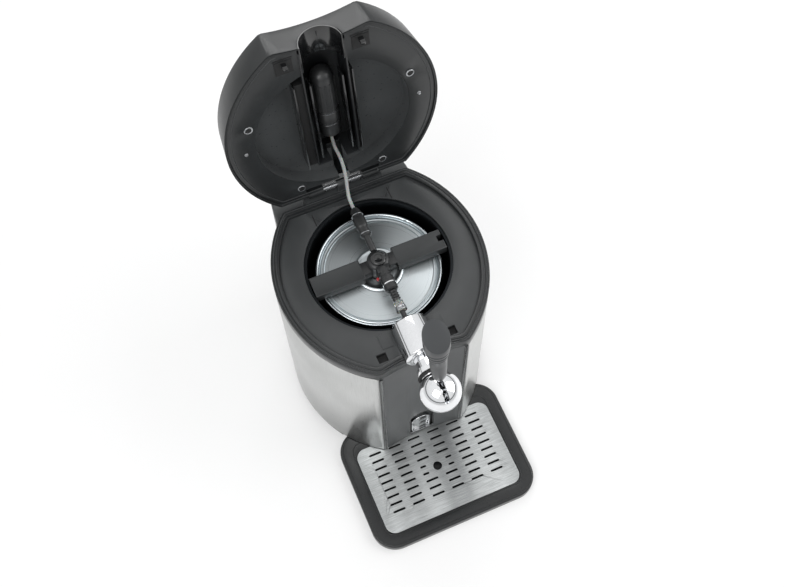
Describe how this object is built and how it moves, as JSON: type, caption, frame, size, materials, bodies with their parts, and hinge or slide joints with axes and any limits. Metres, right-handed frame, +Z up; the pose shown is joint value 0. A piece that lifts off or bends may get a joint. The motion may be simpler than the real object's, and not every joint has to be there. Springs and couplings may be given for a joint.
{
  "type": "mini keg beer dispenser",
  "caption": "Countertop cooler and tap for a five litre party keg, lid open, with drip tray, ball tap and gas cartridge in the lid.",
  "frame": {"origin": "centre of the bounding box's underside, on the table under the barrel", "axes": "+Z up, the tap and drip tray face -Y, +X to the right seen from the front turned towards +Y"},
  "size_m": [0.28, 0.481, 0.5914],
  "materials": {
    "black_plastic": "matte",
    "gloss_black": "gloss",
    "grey_face": "gloss",
    "stainless": "brushed",
    "chrome": "polished",
    "aluminium": "satin",
    "steel": "satin",
    "rubber": "matte",
    "foam": "matte",
    "clear_tube": "gloss",
    "ceramic": "matte"
  },
  "bodies": {
    "housing": {"rubber_feet": "rubber", "base_plate": "black_plastic", "barrel_shell": "black_plastic", "side_skin_left": "stainless", "side_skin_right": "stainless", "front_panel": "black_plastic", "control_bezel": "gloss_black", "control_ring": "chrome", "control_face": "grey_face", "top_rim": "black_plastic", "deck_plate": "black_plastic", "keg_well": "aluminium", "foam_insulation": "foam", "keg_shell": "steel", "keg_valve": "rubber", "keg_pad": "rubber", "coupler_hub": "black_plastic", "coupler_cap": "gloss_black", "coupler_arm_left": "black_plastic", "coupler_arm_right": "black_plastic", "spear_tube": "clear_tube", "gas_connector": "gloss_black", "connector_clips": "steel", "beer_fitting": "gloss_black", "beer_tube": "clear_tube", "hose_clip": "steel", "tap_barrel": "chrome", "tap_neck": "chrome", "tap_washer": "rubber", "tap_ball": "chrome", "tap_pivot_pin": "chrome", "tap_spout": "chrome", "hinge_bracket": "black_plastic", "hinge_pin": "steel", "hinge_springs": "steel", "cold_block": "aluminium", "peltier_module": "ceramic", "heat_sink": "aluminium", "fan_frame": "black_plastic", "rear_housing": "black_plastic", "power_inlet": "gloss_black"},
    "lid": {"lid_shell": "black_plastic", "lid_liner": "black_plastic", "cartridge_bay": "black_plastic", "arch_liner": "gloss_black", "cartridge_sleeve": "black_plastic", "gas_cartridge": "steel", "gas_regulator": "black_plastic", "regulator_saddle": "black_plastic", "lid_hooks": "gloss_black", "lid_screws": "steel", "gas_hose": "clear_tube"},
    "tap_lever_group": {"tap_lever": "chrome", "tap_handle": "black_plastic"},
    "tray": {"drip_tray": "gloss_black", "drip_grille": "stainless"},
    "fan": {"fan_rotor": "black_plastic"},
    "button_down": {"button_down": "gloss_black"},
    "button_up": {"button_up": "gloss_black"},
    "button_power": {"button_power": "gloss_black"}
  },
  "joints": [
    {"name": "lid_hinge", "type": "hinge", "parent": "housing", "child": "lid", "pos_m": [0, 0.17405, 0.3194], "axis": [1, 0, 0], "range_deg": [0, 97.06], "deforming": ["gas_hose"]},
    {"name": "tap_swing", "type": "hinge", "parent": "housing", "child": "tap_lever_group", "pos_m": [0, -0.14755, 0.31], "axis": [1, 0, 0], "range_deg": [0, 53]},
    {"name": "tray_slide", "type": "slide", "parent": "housing", "child": "tray", "axis": [0, -1, 0], "range_m": [0, 0.12]},
    {"name": "fan_spin", "type": "hinge", "parent": "housing", "child": "fan", "pos_m": [0, 0.19745, 0.16], "axis": [0, 1, 0], "continuous": true},
    {"name": "button_down_press", "type": "slide", "parent": "housing", "child": "button_down", "axis": [0, 1, 0], "range_m": [0, 0.001], "stiffness_N_per_m": 400},
    {"name": "button_up_press", "type": "slide", "parent": "housing", "child": "button_up", "axis": [0, 1, 0], "range_m": [0, 0.001], "stiffness_N_per_m": 400},
    {"name": "button_power_press", "type": "slide", "parent": "housing", "child": "button_power", "axis": [0, 1, 0], "range_m": [0, 0.001], "stiffness_N_per_m": 400}
  ]
}
